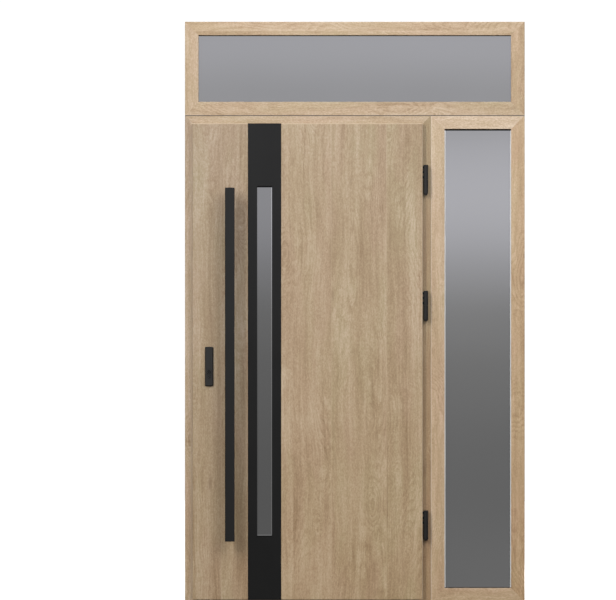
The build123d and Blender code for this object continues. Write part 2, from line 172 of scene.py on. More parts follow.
def makeOakGrain():
    tree, given, result = shaderGroup(
        "oakGrain",
        [
            ("Vector", "NodeSocketVector", None),
            ("Board Width", "NodeSocketFloat", 0.24),
            ("Seed", "NodeSocketFloat", 0.0),
            ("Figure", "NodeSocketFloat", 1.0),
            ("Curl", "NodeSocketFloat", 1.0),
        ],
        [("Color", "NodeSocketColor"), ("Roughness", "NodeSocketFloat"), ("Height", "NodeSocketFloat")],
    )

    def centred(vector, scale, detail, rough=0.5):
        return calc(tree, "SUBTRACT", noise(tree, vector, scale, detail, rough), 0.5)

    across, depth, along = parts(tree, given["Vector"])
    # the pattern carries on round the edge of a board
    side = calc(tree, "MULTIPLY_ADD", depth, 0.8, across)

    # which board, and a few random values for it
    boards = calc(tree, "DIVIDE", side, given["Board Width"])
    boards = calc(tree, "ADD", boards, given["Seed"])
    index = calc(tree, "FLOOR", boards)
    local = calc(tree, "SUBTRACT", boards, index)
    chance = tree.nodes.new("ShaderNodeTexWhiteNoise")
    chance.noise_dimensions = "2D"
    tree.links.new(point(tree, index, calc(tree, "FLOOR", given["Seed"]), 0.0), chance.inputs["Vector"])
    boardTone, boardShift, boardHue = parts(tree, chance.outputs["Color"])

    # fibres wander slowly, wave a little, and part round small knots
    run = calc(tree, "MULTIPLY_ADD", boardShift, 11.0, along)
    place = point(tree, side, calc(tree, "MULTIPLY", given["Seed"], 3.7), run)
    wander = centred(place, (3.6, 1.0, 1.5), 2.0)
    wave = centred(place, (12.0, 1.0, 5.0), 2.0)
    bent = calc(tree, "MULTIPLY_ADD", wander, 0.070, side)
    bent = calc(tree, "MULTIPLY_ADD", wave, 0.016, bent)
    ripple = centred(place, (44.0, 1.0, 19.0), 1.0)
    bent = calc(tree, "MULTIPLY_ADD", ripple, 0.0055, bent)
    knots = tree.nodes.new("ShaderNodeTexVoronoi")
    knots.voronoi_dimensions = "3D"
    knots.inputs["Scale"].default_value = 1.0
    tree.links.new(stretch(tree, place, oakLook["knotScale"]), knots.inputs["Vector"])
    knotChosen = spread(tree, parts(tree, knots.outputs["Color"])[1], 0.58, 0.66)
    knotNear = spread(tree, knots.outputs["Distance"], 0.02, 0.36, 1.0, 0.0)
    knotNear = calc(tree, "MULTIPLY", knotNear, knotChosen)
    knotMiddle = calc(tree, "DIVIDE", parts(tree, knots.outputs["Position"])[0], oakLook["knotScale"][0])
    knotAway = calc(tree, "SUBTRACT", side, knotMiddle)
    pull = calc(tree, "MULTIPLY", calc(tree, "MULTIPLY", knotAway, knotNear), -0.9)
    bent = calc(tree, "ADD", bent, pull)
    cut = calc(tree, "MULTIPLY", given["Seed"], 1.9)
    fibre = point(tree, bent, cut, run)
    curled = point(tree, bent, cut, calc(tree, "MULTIPLY", run, given["Curl"]))

    # soft patches, bands, streaks, fine fibre lines, swirls and thin dark veins
    patch = centred(fibre, (8.0, 1.0, 2.4), 2.0)
    band = centred(fibre, (17.0, 1.0, 0.8), 2.0)
    streak = centred(curled, (52.0, 1.0, 1.7), 4.0, 0.6)
    line = centred(curled, (165.0, 1.0, 6.0), 3.0, 0.65)
    speck = centred(fibre, (260.0, 1.0, 120.0), 2.0, 0.7)
    swirl = centred(curled, (30.0, 1.0, 13.0), 3.0, 0.6)
    vein = spread(tree, noise(tree, fibre, (46.0, 1.0, 0.9), 2.0), 0.60, 0.70)

    # growth rings cut flat: level lines of a slow field that close to arches,
    # and to loops round the knots, each sharp on one side
    field = noise(tree, curled, (5.6, 1.0, 1.25), 1.0)
    rings = calc(tree, "MULTIPLY_ADD", field, 26.0, calc(tree, "MULTIPLY", bent, 30.0))
    rings = calc(tree, "MULTIPLY_ADD", knotNear, 5.0, rings)
    rings = calc(tree, "FRACT", calc(tree, "MULTIPLY_ADD", streak, 1.6, rings))
    rings = spread(tree, rings, 0.0, 0.7, -0.5, 0.5)
    where = spread(tree, noise(tree, place, (7.0, 1.0, 2.2), 1.0), 0.45, 0.62, 0.18, 1.0)
    where = calc(tree, "MAXIMUM", where, calc(tree, "MULTIPLY", knotNear, 1.4))
    rings = calc(tree, "MULTIPLY", calc(tree, "MULTIPLY", rings, where), given["Figure"])

    layers = {
        "patch": patch,
        "band": band,
        "streak": streak,
        "line": line,
        "swirl": calc(tree, "MULTIPLY", swirl, where),
        "speck": speck,
        "vein": vein,
        "rings": rings,
        "board": calc(tree, "SUBTRACT", boardTone, 0.5),
        "knot": knotNear,
    }
    tone = 0.0
    for name, layer in layers.items():
        tone = calc(tree, "MULTIPLY_ADD", layer, oakLook["layers"][name], tone)
    tone = calc(tree, "ADD", tone, 0.5)

    hue = calc(tree, "ADD", noise(tree, fibre, (11.0, 1.0, 2.6), 2.0), calc(tree, "MULTIPLY", boardHue, 0.12))
    body = blendColour(tree, spread(tree, hue, 0.40, 0.52), oakLook["olive"], oakLook["middle"])
    body = blendColour(tree, spread(tree, hue, 0.54, 0.70), body, oakLook["rose"])
    colour = blendColour(tree, spread(tree, tone, 0.0, 0.5, kind="LINEAR"), oakLook["dark"], body)
    colour = blendColour(tree, spread(tree, tone, 0.5, 1.0, kind="LINEAR"), colour, oakLook["light"])

    # a fine pale joint between boards
    seam = calc(tree, "MINIMUM", local, calc(tree, "SUBTRACT", 1.0, local))
    seam = spread(tree, calc(tree, "MULTIPLY", seam, given["Board Width"]), 0.0, 0.004, 0.22, 0.0)
    colour = blendColour(tree, seam, colour, oakLook["light"])

    # small dark flecks beside the knots, only in some cells
    cells = tree.nodes.new("ShaderNodeTexVoronoi")
    tree.links.new(stretch(tree, fibre, (15.0, 1.0, 3.4)), cells.inputs["Vector"])
    cells.inputs["Scale"].default_value = 1.0
    chosen = spread(tree, parts(tree, cells.outputs["Color"])[0], 0.78, 0.84)
    fleck = calc(tree, "MULTIPLY", spread(tree, cells.outputs["Distance"], 0.02, 0.17, 0.50, 0.0), chosen)
    colour = blendColour(tree, fleck, colour, oakLook["fleck"])

    # open pores: short fine dashes
    dash = noise(tree, fibre, (760.0, 1.0, 17.0), 2.0, 0.7)
    dash = spread(tree, dash, 0.58, 0.74)
    colour = blendColour(tree, calc(tree, "MULTIPLY", dash, 0.40), colour, oakLook["pore"])

    rough = calc(tree, "MULTIPLY_ADD", dash, 0.12, 0.48)
    rough = calc(tree, "MULTIPLY_ADD", streak, 0.10, rough)
    height = calc(tree, "SUBTRACT", calc(tree, "MULTIPLY", line, 0.5), dash)
    tree.links.new(colour, result["Color"])
    tree.links.new(rough, result["Roughness"])
    tree.links.new(height, result["Height"])
    return tree


def makeFineCoat():
    # powder coat, paint or plastic: a faint cloud and a fine orange peel
    tree, given, result = shaderGroup(
        "fineCoat",
        [
            ("Vector", "NodeSocketVector", None),
            ("Color", "NodeSocketColor", (0.03, 0.03, 0.03, 1.0)),
            ("Grit", "NodeSocketFloat", 1400.0),
            ("Gloss", "NodeSocketFloat", 0.45),
        ],
        [("Color", "NodeSocketColor"), ("Roughness", "NodeSocketFloat"), ("Height", "NodeSocketFloat")],
    )
    cloud = noise(tree, given["Vector"], (9.0, 9.0, 5.0), 3.0)
    grain = tree.nodes.new("ShaderNodeTexNoise")
    tree.links.new(given["Vector"], grain.inputs["Vector"])
    tree.links.new(given["Grit"], grain.inputs["Scale"])
    grain.inputs["Detail"].default_value = 2.0
    shade = calc(tree, "MULTIPLY_ADD", cloud, 0.24, 0.80)
    shade = calc(tree, "MULTIPLY_ADD", grain.outputs["Fac"], 0.16, shade)
    tint = tree.nodes.new("ShaderNodeVectorMath")
    tint.operation = "SCALE"
    tree.links.new(given["Color"], tint.inputs[0])
    tree.links.new(shade, tint.inputs["Scale"])
    tree.links.new(tint.outputs[0], result["Color"])
    rough = calc(tree, "MULTIPLY_ADD", calc(tree, "SUBTRACT", cloud, 0.5), 0.14, given["Gloss"])
    tree.links.new(rough, result["Roughness"])
    tree.links.new(grain.outputs["Fac"], result["Height"])
    return tree


def makeBrushed():
    # fine drawn lines along Z of the given vector
    tree, given, result = shaderGroup(
        "brushedMetal",
        [
            ("Vector", "NodeSocketVector", None),
            ("Color", "NodeSocketColor", (0.5, 0.5, 0.5, 1.0)),
            ("Gloss", "NodeSocketFloat", 0.35),
        ],
        [("Color", "NodeSocketColor"), ("Roughness", "NodeSocketFloat"), ("Height", "NodeSocketFloat")],
    )
    drawn = noise(tree, given["Vector"], (900.0, 900.0, 14.0), 3.0, 0.6)
    cloud = noise(tree, given["Vector"], (12.0, 12.0, 6.0), 2.0)
    shade = calc(tree, "MULTIPLY_ADD", drawn, 0.28, 0.72)
    shade = calc(tree, "MULTIPLY_ADD", cloud, 0.22, shade)
    tint = tree.nodes.new("ShaderNodeVectorMath")
    tint.operation = "SCALE"
    tree.links.new(given["Color"], tint.inputs[0])
    tree.links.new(shade, tint.inputs["Scale"])
    tree.links.new(tint.outputs[0], result["Color"])
    rough = calc(tree, "MULTIPLY_ADD", calc(tree, "SUBTRACT", drawn, 0.5), 0.22, given["Gloss"])
    tree.links.new(rough, result["Roughness"])
    tree.links.new(drawn, result["Height"])
    return tree


oakGrain = makeOakGrain()
fineCoat = makeFineCoat()
brushed = makeBrushed()
print("finish groups made")


# materials

def newMaterial(name):
    material = bpy.data.materials.new(name)
    material.use_nodes = True
    tree = material.node_tree
    tree.nodes.clear()
    shader = tree.nodes.new("ShaderNodeBsdfPrincipled")
    output = tree.nodes.new("ShaderNodeOutputMaterial")
    tree.links.new(shader.outputs[0], output.inputs[0])
    return material, tree, shader


def lay(tree, turn=(0.0, 0.0, 0.0), shift=(0.0, 0.0, 0.0)):
    where = tree.nodes.new("ShaderNodeTexCoord")
    mapping = tree.nodes.new("ShaderNodeMapping")
    mapping.inputs["Rotation"].default_value = turn
    mapping.inputs["Location"].default_value = shift
    tree.links.new(where.outputs["Object"], mapping.inputs["Vector"])
    return mapping.outputs[0]


def emboss(tree, shader, height, strength, depth):
    bump = tree.nodes.new("ShaderNodeBump")
    bump.inputs["Strength"].default_value = strength
    bump.inputs["Distance"].default_value = depth
    tree.links.new(height, bump.inputs["Height"])
    tree.links.new(bump.outputs[0], shader.inputs["Normal"])


crossways = (0.0, math.radians(90.0), 0.0)  # turns X into the grain's direction
# painted light and shade: between these heights a board or coat changes from its foot colour to its own
paintedLightHeights = (0.15, 1.95)  # between these the colour of a board or coat drifts


# painted light and shade: the colour goes from low near the floor to high further up
def paintedLightByHeight(tree, low, high):
    height = parts(tree, lay(tree))[2]
    return blendColour(tree, spread(tree, height, *paintedLightHeights, kind="LINEAR"), low, high)


def finishOak(tree, shader, vector, look):
    place = parts(tree, lay(tree))
    seed, left = look["seed"], look.get("left")
    if left:  # the panel is cut from another board on the left of the strip
        isLeft = calc(tree, "LESS_THAN", place[0], left["edge"])
        seed = calc(tree, "MULTIPLY_ADD", isLeft, left["seed"] - seed, seed)
    grain = useGroup(
        tree,
        oakGrain,
        **{
            "Vector": vector,
            "Board Width": look["board"],
            "Seed": seed,
            "Figure": look.get("figure", 1.0),
            "Curl": look.get("curl", 1.0),
        },
    )
    colour = grain["Color"]
    if left:
        colour = blendColour(tree, isLeft, colour, left["tint"], "MULTIPLY")
    tint = look["tint"]
    # painted light and shade: the oak takes another tint towards the floor
    if "paintedFootTint" in look:
        tint = paintedLightByHeight(tree, look["paintedFootTint"], tint)
    colour = blendColour(tree, 1.0, colour, tint, "MULTIPLY")
    # painted light: bands along an edge are mixed towards the light oak tone
    for axis, start, end, amount in look.get("paintedLightEdges", ()):
        pale = spread(tree, place[axis], start, end, 0.0, amount)
        colour = blendColour(tree, pale, colour, oakLook["light"])
    tree.links.new(colour, shader.inputs["Base Color"])
    tree.links.new(grain["Roughness"], shader.inputs["Roughness"])
    shader.inputs["Specular IOR Level"].default_value = 0.7
    emboss(tree, shader, grain["Height"], 0.25, 0.0004)


def oak(name, look):
    material, tree, shader = newMaterial(name)
    finishOak(tree, shader, lay(tree, crossways) if look.get("across") else lay(tree), look)
    return material


def mitredOak(name, look, low, high):
    # uprights and rails in one mesh: the grain turns at the mitres
    material, tree, shader = newMaterial(name)
    flat = lay(tree)
    x, y, z = parts(tree, flat)
    toSide = calc(tree, "MINIMUM", calc(tree, "SUBTRACT", x, low.x), calc(tree, "SUBTRACT", high.x, x))
    toEnd = calc(tree, "MINIMUM", calc(tree, "SUBTRACT", z, low.z), calc(tree, "SUBTRACT", high.z, z))
    isRail = calc(tree, "LESS_THAN", toEnd, toSide)
    vector = tree.nodes.new("ShaderNodeMix")
    vector.data_type = "VECTOR"
    tree.links.new(isRail, vector.inputs[0])
    tree.links.new(flat, vector.inputs[4])
    tree.links.new(lay(tree, crossways), vector.inputs[5])
    finishOak(tree, shader, vector.outputs[1], look)
    return material


def coated(name, colour, gloss, grit=1400.0, peel=0.12, level=0.5, foot=1.0):
    material, tree, shader = newMaterial(name)
    # painted shade: the coat is darker towards the floor
    if foot != 1.0:  # deeper towards the floor
        colour = paintedLightByHeight(tree, [shade * foot for shade in colour[:3]] + [1.0], colour)
    coat = useGroup(tree, fineCoat, Vector=lay(tree), Color=colour, Grit=grit, Gloss=gloss)
    tree.links.new(coat["Color"], shader.inputs["Base Color"])
    tree.links.new(coat["Roughness"], shader.inputs["Roughness"])
    shader.inputs["Specular IOR Level"].default_value = level
    emboss(tree, shader, coat["Height"], peel, 0.0002)
    return material


def metal(name, colour, gloss, turn=(0.0, 0.0, 0.0)):
    material, tree, shader = newMaterial(name)
    coat = useGroup(tree, brushed, Vector=lay(tree, turn), Color=colour, Gloss=gloss)
    tree.links.new(coat["Color"], shader.inputs["Base Color"])
    tree.links.new(coat["Roughness"], shader.inputs["Roughness"])
    shader.inputs["Metallic"].default_value = 1.0
    emboss(tree, shader, coat["Height"], 0.15, 0.0001)
    return material


def mirrorGlass(name, look):
    # grey reflective glass, with a faint haze
    material, tree, shader = newMaterial(name)
    place = lay(tree)
    haze = noise(tree, place, (2.2, 2.2, 1.6), 3.0)
    height = parts(tree, place)[2]
    # painted light: the body colour is lighter near the foot than higher up, most in the strip's glass
    body = blendColour(tree, spread(tree, height, *look["fade"]), look["low"], look["high"])
    body = blendColour(tree, calc(tree, "MULTIPLY", haze, 0.02), body, (0.5, 0.52, 0.55, 1.0))
    tree.links.new(body, shader.inputs["Base Color"])
    rough = spread(tree, haze, 0.3, 0.7, look["gloss"], look["gloss"] + 0.04)
    tree.links.new(rough, shader.inputs["Roughness"])
    shader.inputs["IOR"].default_value = look["ior"]
    return material


plugLook = {
    "rim": (0.0075, 0.0075, 0.0075, 1.0),
    "heart": (0.034, 0.033, 0.031, 1.0),
    "fade": (0.0022, 0.0040),
}


def plugPaintedHighlight(name, look):
    # dark round the rim, with a painted highlight that makes the middle brighter
    material, tree, shader = newMaterial(name)
    low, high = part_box("cylinder_plug")
    x, y, z = parts(tree, lay(tree, shift=-(low + high) / 2))
    away = calc(tree, "SQRT", calc(tree, "MULTIPLY_ADD", x, x, calc(tree, "MULTIPLY", z, z)))
    body = blendColour(tree, spread(tree, away, *look["fade"]), look["heart"], look["rim"])
    coat = useGroup(tree, fineCoat, Vector=lay(tree), Color=body, Grit=1900.0, Gloss=0.5)
    tree.links.new(coat["Color"], shader.inputs["Base Color"])
    tree.links.new(coat["Roughness"], shader.inputs["Roughness"])
    shader.inputs["Specular IOR Level"].default_value = 0.2
    return material


def dress(material, *names):
    for name in names:
        nodes[name].data.materials.clear()
        nodes[name].data.materials.append(material)


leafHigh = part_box("leaf_outer_panel")[1]
leafLook = {
    "board": 0.235,
    "seed": 38.64,
    "tint": (0.881, 0.883, 0.875, 1.0),
    "paintedFootTint": (0.958, 0.909, 0.816, 1.0),
    "left": {
        "edge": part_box("leaf_black_strip")[0].x + 0.02,  # under the strip
        "seed": 16.64,
        "tint": (0.934, 0.947, 0.982, 1.0),
    },
    # painted highlights on the arrises at the top and on the hinge side
    "paintedLightEdges": [  # axis, from, to, how much: the arrises at the top and on the hinge side
        (2, leafHigh.z - 0.0038, leafHigh.z - 0.0026, 0.6),
        (0, leafHigh.x - 0.0020, leafHigh.x - 0.0010, 1.0),
    ],
}
roomLook = {
    "board": 0.235,
    "seed": 8.64,
    "tint": (0.882, 0.892, 0.895, 1.0),
    "paintedFootTint": (0.937, 0.888, 0.815, 1.0),
}
leafOak = oak("leafOak", leafLook)
roomOak = oak("roomOak", roomLook)
coreOak = oak("coreOak", {"board": 0.09, "seed": 5.2, "figure": 0.4, "tint": (0.78, 0.76, 0.74, 1.0)})
leftLook = {
    "board": 0.30,
    "seed": 23.3,
    "figure": 1.2,
    "tint": (0.854, 0.835, 0.910, 1.0),
    "paintedFootTint": (0.998, 0.956, 0.943, 1.0),
    # painted light: a lighter band beside the leaf lifts the shadow the leaf casts on the jamb
    "paintedLightEdges": [(0, -0.7065, -0.6945, 0.55)],  # beside the leaf
}
# the hinge jamb's darker, warmer tint is partly its own tone and partly painted shade from the leaf beside it
hingeLook = {
    "board": 0.30,
    "seed": 32.6,
    "figure": 1.2,
    "tint": (0.745, 0.723, 0.639, 1.0),
    "paintedFootTint": (0.782, 0.662, 0.540, 1.0),
}
headLook = {
    "board": 0.30,
    "seed": 54.1,
    "figure": 1.2,
    "curl": 2.2,
    "across": True,
    "tint": (1.002, 1.012, 1.045, 1.0),
}
leftOak = oak("leftJambOak", leftLook)
hingeOak = oak("hingeJambOak", hingeLook)
headOak = oak("headOak", headLook)
dress(leafOak, "leaf_outer_panel")
dress(roomOak, "leaf_inner_panel")
dress(coreOak, "leaf_core")
dress(leftOak, "left_jamb")
dress(hingeOak, "hinge_jamb")
dress(headOak, "door_head")

# the tints differ from member to member partly in tone and partly as painted light and shade; the sidelight's
# members are painted lighter
glazed = {
    "transom_top_rail": {"seed": 49.0, "tint": (1.036, 1.019, 0.995, 1.0)},
    "transom_bottom_rail": {"seed": 24.37, "tint": (1.020, 1.024, 1.018, 1.0)},
    "transom_left_stile": {"seed": 18.74, "tint": (0.996, 0.990, 0.988, 1.0)},
    "transom_right_stile": {"seed": 20.11, "tint": (1.039, 0.989, 0.972, 1.0)},
    "sidelight_top_rail": {"seed": 23.0, "tint": (1.268, 1.309, 1.450, 1.0)},
    "sidelight_bottom_rail": {"seed": 14.37, "tint": (1.119, 1.071, 1.021, 1.0)},
    "sidelight_left_stile": {
        "seed": 25.74,
        "tint": (1.142, 1.162, 1.204, 1.0),
        "paintedFootTint": (1.071, 0.994, 0.926, 1.0),
    },
    "sidelight_right_stile": {
        "seed": 1.11,
        "tint": (1.054, 0.999, 0.926, 1.0),
        "paintedFootTint": (1.012, 0.888, 0.759, 1.0),
    },
}
for member, look in glazed.items():
    look.update({"board": 0.30, "figure": 1.2, "curl": 2.2, "across": member.endswith("rail")})
    dress(oak(member + "_oak", look), member)
beadOak = {"board": 0.30, "seed": 41.4, "figure": 0.4, "tint": (1.05, 1.04, 1.02, 1.0)}
for beads in ("transom_beads", "sidelight_beads"):
    dress(mitredOak(beads + "_oak", beadOak, *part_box(beads)), beads)
print("oak laid on leaf and frames")

# the last number of stripBlack, hardwareBlack and hingeBlack darkens them towards the floor as painted shade
stripBlack = coated("stripBlack", (0.0102, 0.0102, 0.0102, 1.0), 0.42, level=0.20, foot=0.66)
hardwareBlack = coated("hardwareBlack", (0.0152, 0.0152, 0.0152, 1.0), 0.46, 1900.0, 0.16, 0.20, 0.80)
plateBlack = coated("plateBlack", (0.0262, 0.0258, 0.0248, 1.0), 0.46, 1900.0, 0.16, 0.20)
rubberBlack = coated("rubberBlack", (0.018, 0.018, 0.018, 1.0), 0.68, 700.0, 0.2)
spacerBlack = coated("spacerBlack", (0.03, 0.03, 0.032, 1.0), 0.5, 900.0)
polyamideBlack = coated("polyamideBlack", (0.02, 0.02, 0.021, 1.0), 0.55, 600.0, 0.25)
bronze = metal("bronzeAnodised", (0.205, 0.160, 0.118, 1.0), 0.38, crossways)
steel = metal("satinSteel", (0.56, 0.56, 0.55, 1.0), 0.32)
pinSteel = metal("pinSteel", (0.05, 0.05, 0.05, 1.0), 0.5)
cylinderDark = coated("cylinderDark", (0.0205, 0.0203, 0.0198, 1.0), 0.5, 1900.0, 0.1, 0.2)
hingeBlack = coated("hingeBlack", (0.0192, 0.0189, 0.0184, 1.0), 0.46, 1900.0, 0.16, 0.20, 0.70)

glassLook = {
    "low": (0.009, 0.009, 0.009, 1.0),
    "high": (0.007, 0.007, 0.008, 1.0),
    "fade": (0.6, 1.7),
    "gloss": 0.05,
    "ior": 3.7,
}
stripGlassLook = {
    **glassLook,
    "low": (0.027, 0.027, 0.027, 1.0),
    "high": (0.007, 0.007, 0.007, 1.0),
    "ior": 2.62,
}
glass = mirrorGlass("graphiteGlass", glassLook)
stripGlass = mirrorGlass("stripGlass", stripGlassLook)
# the bevel glass reflects more strongly than the glass, partly as a painted highlight
bevelAndHighlightGlass = mirrorGlass("bevelAndHighlightGlass", {**stripGlassLook, "ior": 4.4})
# the black of these seals is partly their own colour and partly painted shade under the lips
sealAndShadeBlack = coated("sealAndShadeBlack", (0.0035, 0.0035, 0.0035, 1.0), 0.7, 700.0, 0.2, 0.1)
sealGrey = coated("sealGrey", (0.72, 0.72, 0.72, 1.0), 0.5, 700.0, 0.1, 0.4)
# the pale sealant is partly a painted highlight, and the joint grey partly painted shade
sealantAndHighlightOak = coated("sealantAndHighlightOak", (0.66, 0.57, 0.46, 1.0), 0.5, 700.0, 0.1, 0.4)
jointAndShadeGrey = coated("jointAndShadeGrey", (0.115, 0.110, 0.105, 1.0), 0.7, 700.0, 0.2, 0.2)

dress(stripBlack, "leaf_black_strip", "inner_glazing_frame")
dress(hardwareBlack, "pull_bar", "pull_bar_posts", "inner_handle_plate", "inner_lever")
dress(hingeBlack, "hinge_frame_halves", "hinge_leaf_halves")
dress(plateBlack, "lock_escutcheon")
dress(rubberBlack, "frame_seal", "leaf_bottom_brush")
dress(rubberBlack, "strip_glass_gaskets", "transom_gaskets", "sidelight_gaskets")
dress(spacerBlack, "transom_spacers", "sidelight_spacers", "strip_glass_spacers")
dress(polyamideBlack, "threshold_thermal_break")
dress(bronze, "threshold")
dress(steel, "lock_faceplate", "lock_bolts", "strike_plates")
dress(pinSteel, "hinge_pins")
dress(cylinderDark, "lock_cylinder")
dress(plugPaintedHighlight("plugDark", plugLook), "cylinder_plug")
dress(glass, "transom_glass", "sidelight_glass")
dress(stripGlass, "strip_glass")
print("metal, rubber and glass finishes made")


# thin seals and joint lines, built from boxes in millimetres; some of their dark and pale colours stand
# partly for painted shade and highlight

def boxPiece(name, body, material, boxes, edge=0.3):
    shape = bmesh.new()
    for low, high in boxes:
        made = bmesh.ops.create_cube(shape, size=1.0)["verts"]
        middle = [(a + b) / 2000.0 for a, b in zip(low, high)]
        size = [(b - a) / 1000.0 for a, b in zip(low, high)]
        for corner in made:
            corner.co = [m + c * s for m, c, s in zip(middle, corner.co, size)]
    bmesh.ops.bevel(
        shape,
        geom=shape.edges[:],
        offset=edge / 1000.0,
        segments=1,
        profile=0.5,
        affect="EDGES",
        clamp_overlap=True,
    )
    bmesh.ops.recalc_face_normals(shape, faces=shape.faces[:])
    mesh = bpy.data.meshes.new(name)
    shape.to_mesh(mesh)
    shape.free()
    mesh.materials.append(material)
    piece = bpy.data.objects.new(name, mesh)
    scene.collection.objects.link(piece)
    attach(piece, body)
    return piece


def seen(glass, cover):
    # the part of a glass unit that shows between the lips of its frame, in millimetres
    low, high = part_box(glass)
    left, foot = low.x * 1000 + cover, low.z * 1000 + cover
    right, top = high.x * 1000 - cover, high.z * 1000 - cover
    return left, foot, right, top, low.y * 1000


sealLook = {
    "tuck": 3.0,  # hidden behind the lip of the frame
    "lip": 3.9,
    "clear": 0.05,  # between seal and glass
    "transomTop": 3.0,
    "sideTop": 6.6,
    "sideFoot": 2.6,
    "sideLine": 3.6,
    "sideSetback": 1.6,
}
glassCover = {"frame": 13.0, "strip": 11.0}  # how far the glass runs behind the lips


def addGlazingLines():
    tuck, lip = sealLook["tuck"], sealLook["lip"]
    left, foot, right, top, front = seen("transom_glass", glassCover["frame"])
    y0, y1 = front - lip, front - sealLook["clear"]
    # a black seal under the top lip, dark partly as painted shade under the lip
    line = [((left, y0, top - sealLook["transomTop"]), (right, y1, top + tuck))]
    boxPiece("transom_top_seal", "frame", sealAndShadeBlack, line)

    left, foot, right, top, front = seen("sidelight_glass", glassCover["frame"])
    y0, y1 = front - lip, front - sealLook["clear"]
    under = top - sealLook["sideTop"]
    over = foot + sealLook["sideFoot"]
    # black seals under the top lip and over the foot, dark partly as painted shade
    dark = [((left, y0, under), (right, y1, top + tuck)), ((left, y0, foot - tuck), (right, y1, over))]
    boxPiece("sidelight_end_seals", "frame", sealAndShadeBlack, dark)
    wide = sealLook["sideLine"]
    y0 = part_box("sidelight_left_stile")[0].y * 1000 + sealLook["sideSetback"]
    pale = [((left, y0, over), (left + wide, y1, under)), ((right - wide, y0, over), (right, y1, under))]
    boxPiece("sidelight_side_seals", "frame", sealGrey, pale)


stripLook = {"top": 5.6, "foot": 4.5, "lip": 2.9, "bevelFoot": 4.6, "bevelSide": 3.4, "bevelHeight": 1.0}


def addStripLines():
    tuck = sealLook["tuck"]
    left, foot, right, top, front = seen("strip_glass", glassCover["strip"])
    y0, y1 = front - stripLook["lip"], front - sealLook["clear"]
    under = top - stripLook["top"]
    over = foot + stripLook["foot"]
    # black seals at the top and foot of the window, dark partly as painted shade
    dark = [((left, y0, under), (right, y1, top + tuck)), ((left, y0, foot - tuck), (right, y1, over))]
    boxPiece("strip_end_seals", "leaf", sealAndShadeBlack, dark)
    # glass strips on the foot and the right side, reflecting more than the glass, partly a painted highlight
    # on the lit edges
    y0 = front - stripLook["bevelHeight"]
    step = over + stripLook["bevelFoot"]
    side = right - stripLook["bevelSide"]
    pale = [((left, y0, over), (right, y1, step)), ((side, y0, step), (right + tuck, y1, under))]
    boxPiece("strip_glass_bevel", "leaf", bevelAndHighlightGlass, pale)


couplingLook = {
    "proud": 0.15,
    "deep": 1.9,
    "tapeInset": 0.5,
    "tapeUnder": 2.4,
    "tapeOver": 0.5,
    "tapeEdge": 0.2,
    "beadLeft": 0.2,
    "beadRight": 2.0,
}


def addCouplingLine():
    # the thin compressed tape that shows in the joint under the transom, dark partly as painted shade under
    # the transom
    look = couplingLook
    low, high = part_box("transom_bottom_rail")
    left, right = low.x * 1000 + look["tapeInset"], high.x * 1000 - look["tapeInset"]
    level = low.z * 1000
    y0, y1 = low.y * 1000 - look["proud"], low.y * 1000 + look["deep"]
    tape = [((left, y0, level - look["tapeUnder"]), (right, y1, level + look["tapeOver"]))]
    boxPiece("coupling_tape", "frame", jointAndShadeGrey, tape, look["tapeEdge"])
    # and the pale sealant between hinge jamb and sidelight, pale partly as a painted highlight on the
    # sidelight's edge
    low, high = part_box("sidelight_left_stile")
    edge, foot, top = low.x * 1000, low.z * 1000, high.z * 1000 - look["tapeUnder"]
    bead = [((edge - look["beadLeft"], y0, foot), (edge + look["beadRight"], y1, top))]
    boxPiece("coupling_sealant", "frame", sealantAndHighlightOak, bead)


lockWall = {"margin": 4.0, "thick": 4.0}


def addLockWall():
    # the wall of the lock case, which closes the slit round the cylinder
    low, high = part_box("lock_cylinder")
    margin, back = lockWall["margin"], (low.y + high.y) * 500
    near = (low.x * 1000 - margin, back - lockWall["thick"], low.z * 1000 - margin)
    far = (high.x * 1000 + margin, back, high.z * 1000 + margin)
    boxPiece("lock_case_wall", "leaf", spacerBlack, [(near, far)])


addGlazingLines()
addStripLines()
addCouplingLine()
addLockWall()
print("glazing and joint lines laid")


# what repeats: screws in the lock plates and bristles under the leaf

def geometryTree(name, inputs):
    tree = bpy.data.node_groups.new(name, "GeometryNodeTree")
    for label, kind in inputs:
        tree.interface.new_socket(name=label, in_out="INPUT", socket_type=kind)
    tree.interface.new_socket(name="Geometry", in_out="OUTPUT", socket_type="NodeSocketGeometry")
    given = tree.nodes.new("NodeGroupInput").outputs
    result = tree.nodes.new("NodeGroupOutput").inputs
    return tree, given, result


def node(tree, kind, **values):
    made = tree.nodes.new(kind)
    for label, value in values.items():
        feed(tree, made.inputs[label.replace("_", " ")], value)
    return made


def calcNumber(tree, operation, first, second):
    made = tree.nodes.new("FunctionNodeIntegerMath")
    made.operation = operation
    feed(tree, made.inputs[0], first)
    feed(tree, made.inputs[1], second)
    return made.outputs[0]


def randomValue(tree, seed, low, high, stream):
    made = tree.nodes.new("FunctionNodeRandomValue")
    made.data_type = "FLOAT"
    made.inputs[2].default_value = low
    made.inputs[3].default_value = high
    feed(tree, made.inputs["Seed"], calcNumber(tree, "ADD", seed, stream))
    return made.outputs[1]


def lineOf(tree, count, start, step):
    made = tree.nodes.new("GeometryNodeMeshLine")
    made.mode = "OFFSET"
    feed(tree, made.inputs["Count"], count)
    feed(tree, made.inputs["Start Location"], start)
    feed(tree, made.inputs["Offset"], step)
    return made.outputs[0]


def finishTree(tree, geometry, material, result):
    real = node(tree, "GeometryNodeRealizeInstances", Geometry=geometry)
    painted = node(tree, "GeometryNodeSetMaterial", Geometry=real.outputs[0], Material=material)
    tree.links.new(painted.outputs[0], result["Geometry"])


